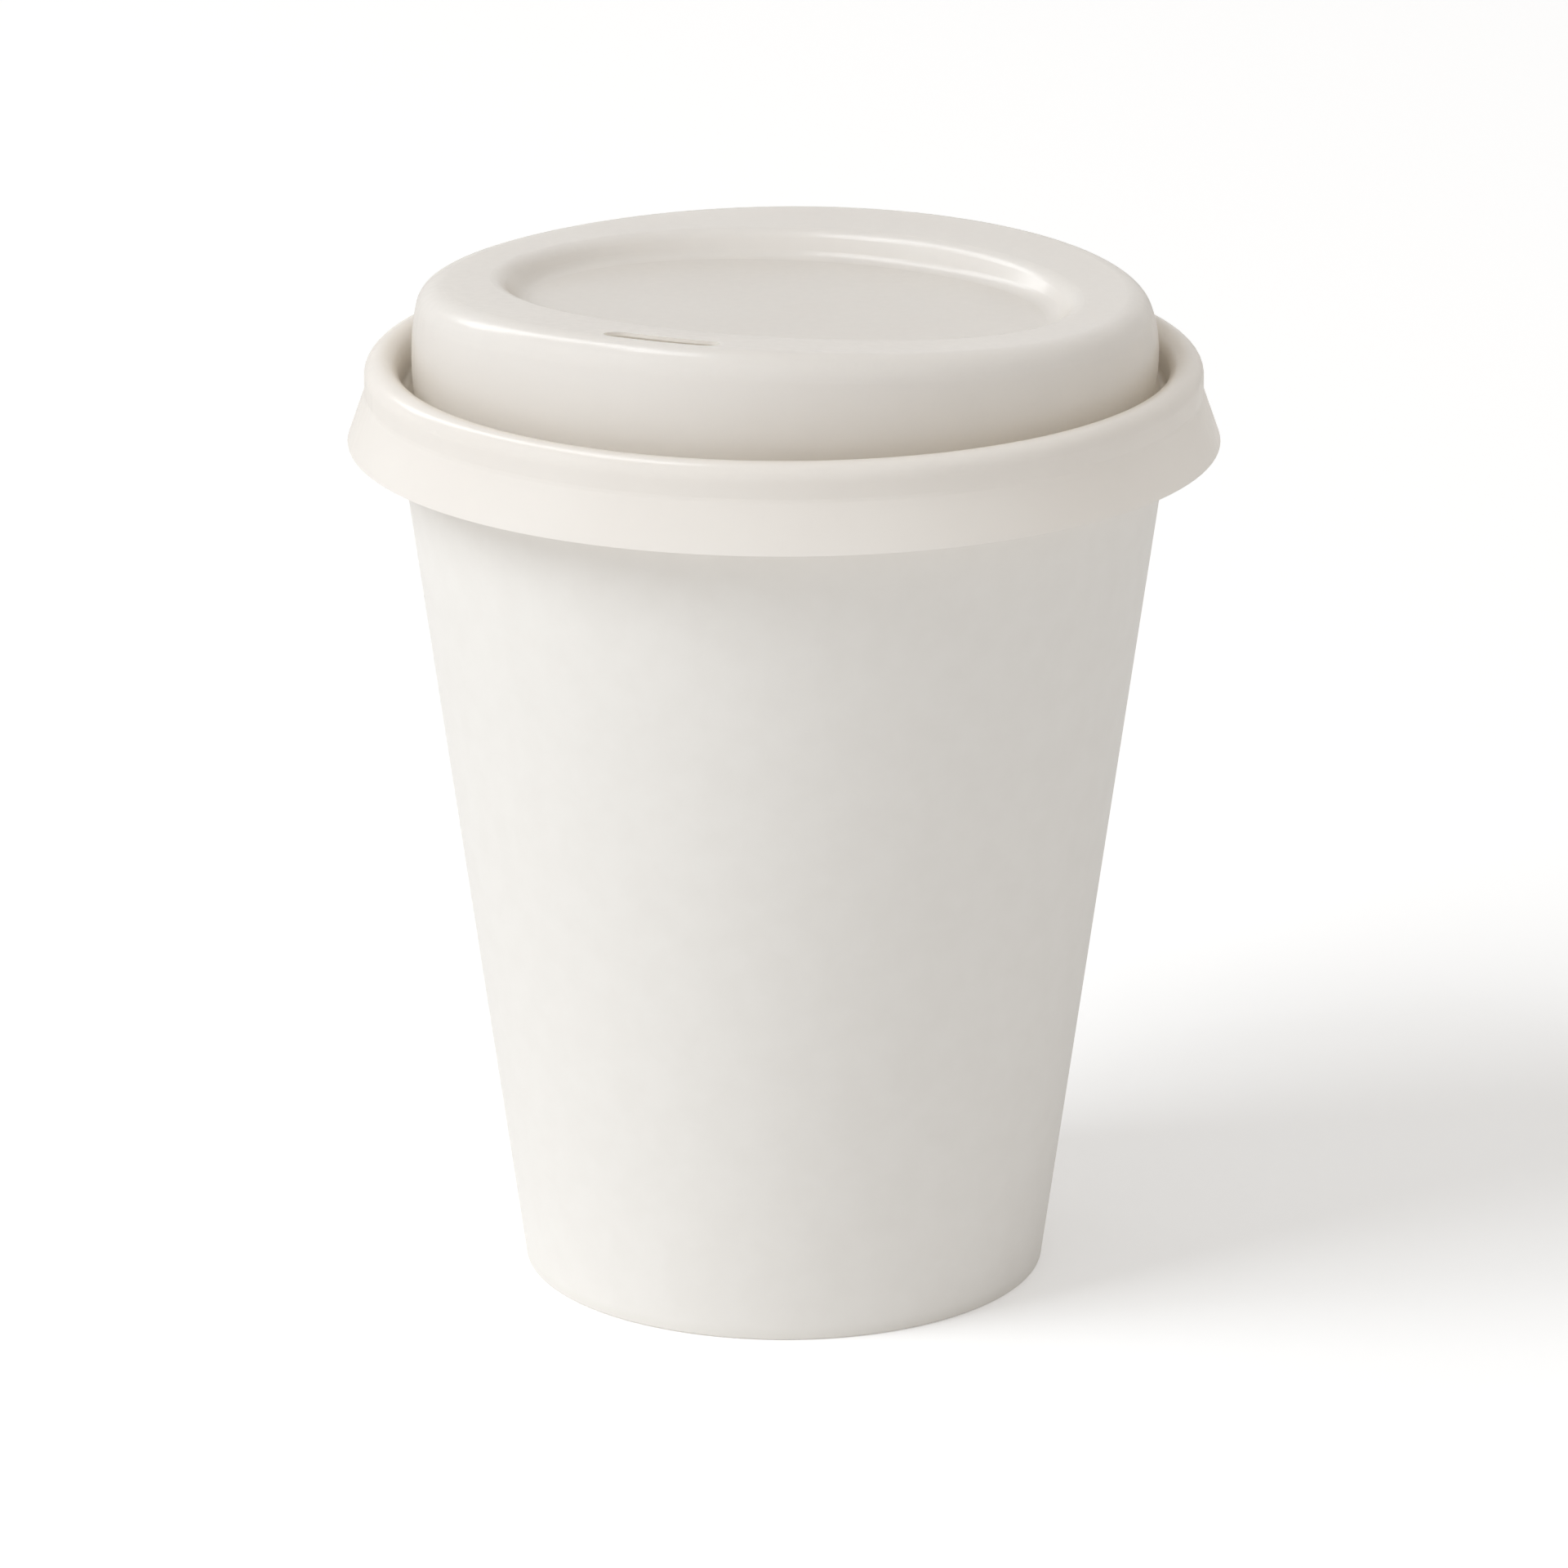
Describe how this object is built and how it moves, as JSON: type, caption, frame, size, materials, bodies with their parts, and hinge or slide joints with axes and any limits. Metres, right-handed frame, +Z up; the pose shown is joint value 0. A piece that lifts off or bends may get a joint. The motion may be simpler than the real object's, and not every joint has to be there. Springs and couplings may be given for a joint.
{
  "type": "paper coffee cup with lid",
  "caption": "Tapered paper takeaway coffee cup with a rolled rim and recessed base, closed by a white plastic sip lid with a raised tilted dome.",
  "frame": {"origin": "centre of the cup's foot on the surface that it stands on, which is the middle of the bottom of its bounding box", "axes": "+Z up along the cup's axis, -Y towards the sip slot, +X across, to the right of someone facing the slot"},
  "size_m": [0.095, 0.095, 0.1139],
  "materials": {
    "cup_board": "matt coated white board",
    "base_board": "matt coated white board",
    "lid_plastic": "satin white formed sheet"
  },
  "bodies": {
    "cup": {"cup_sidewall": "cup_board", "cup_base": "base_board"},
    "lid": {"lid": "lid_plastic"}
  },
  "joints": [
    {"name": "lid_pull_off", "type": "slide", "parent": "cup", "child": "lid", "axis": [0, 0, 1], "range_m": [0, 0.03]}
  ]
}
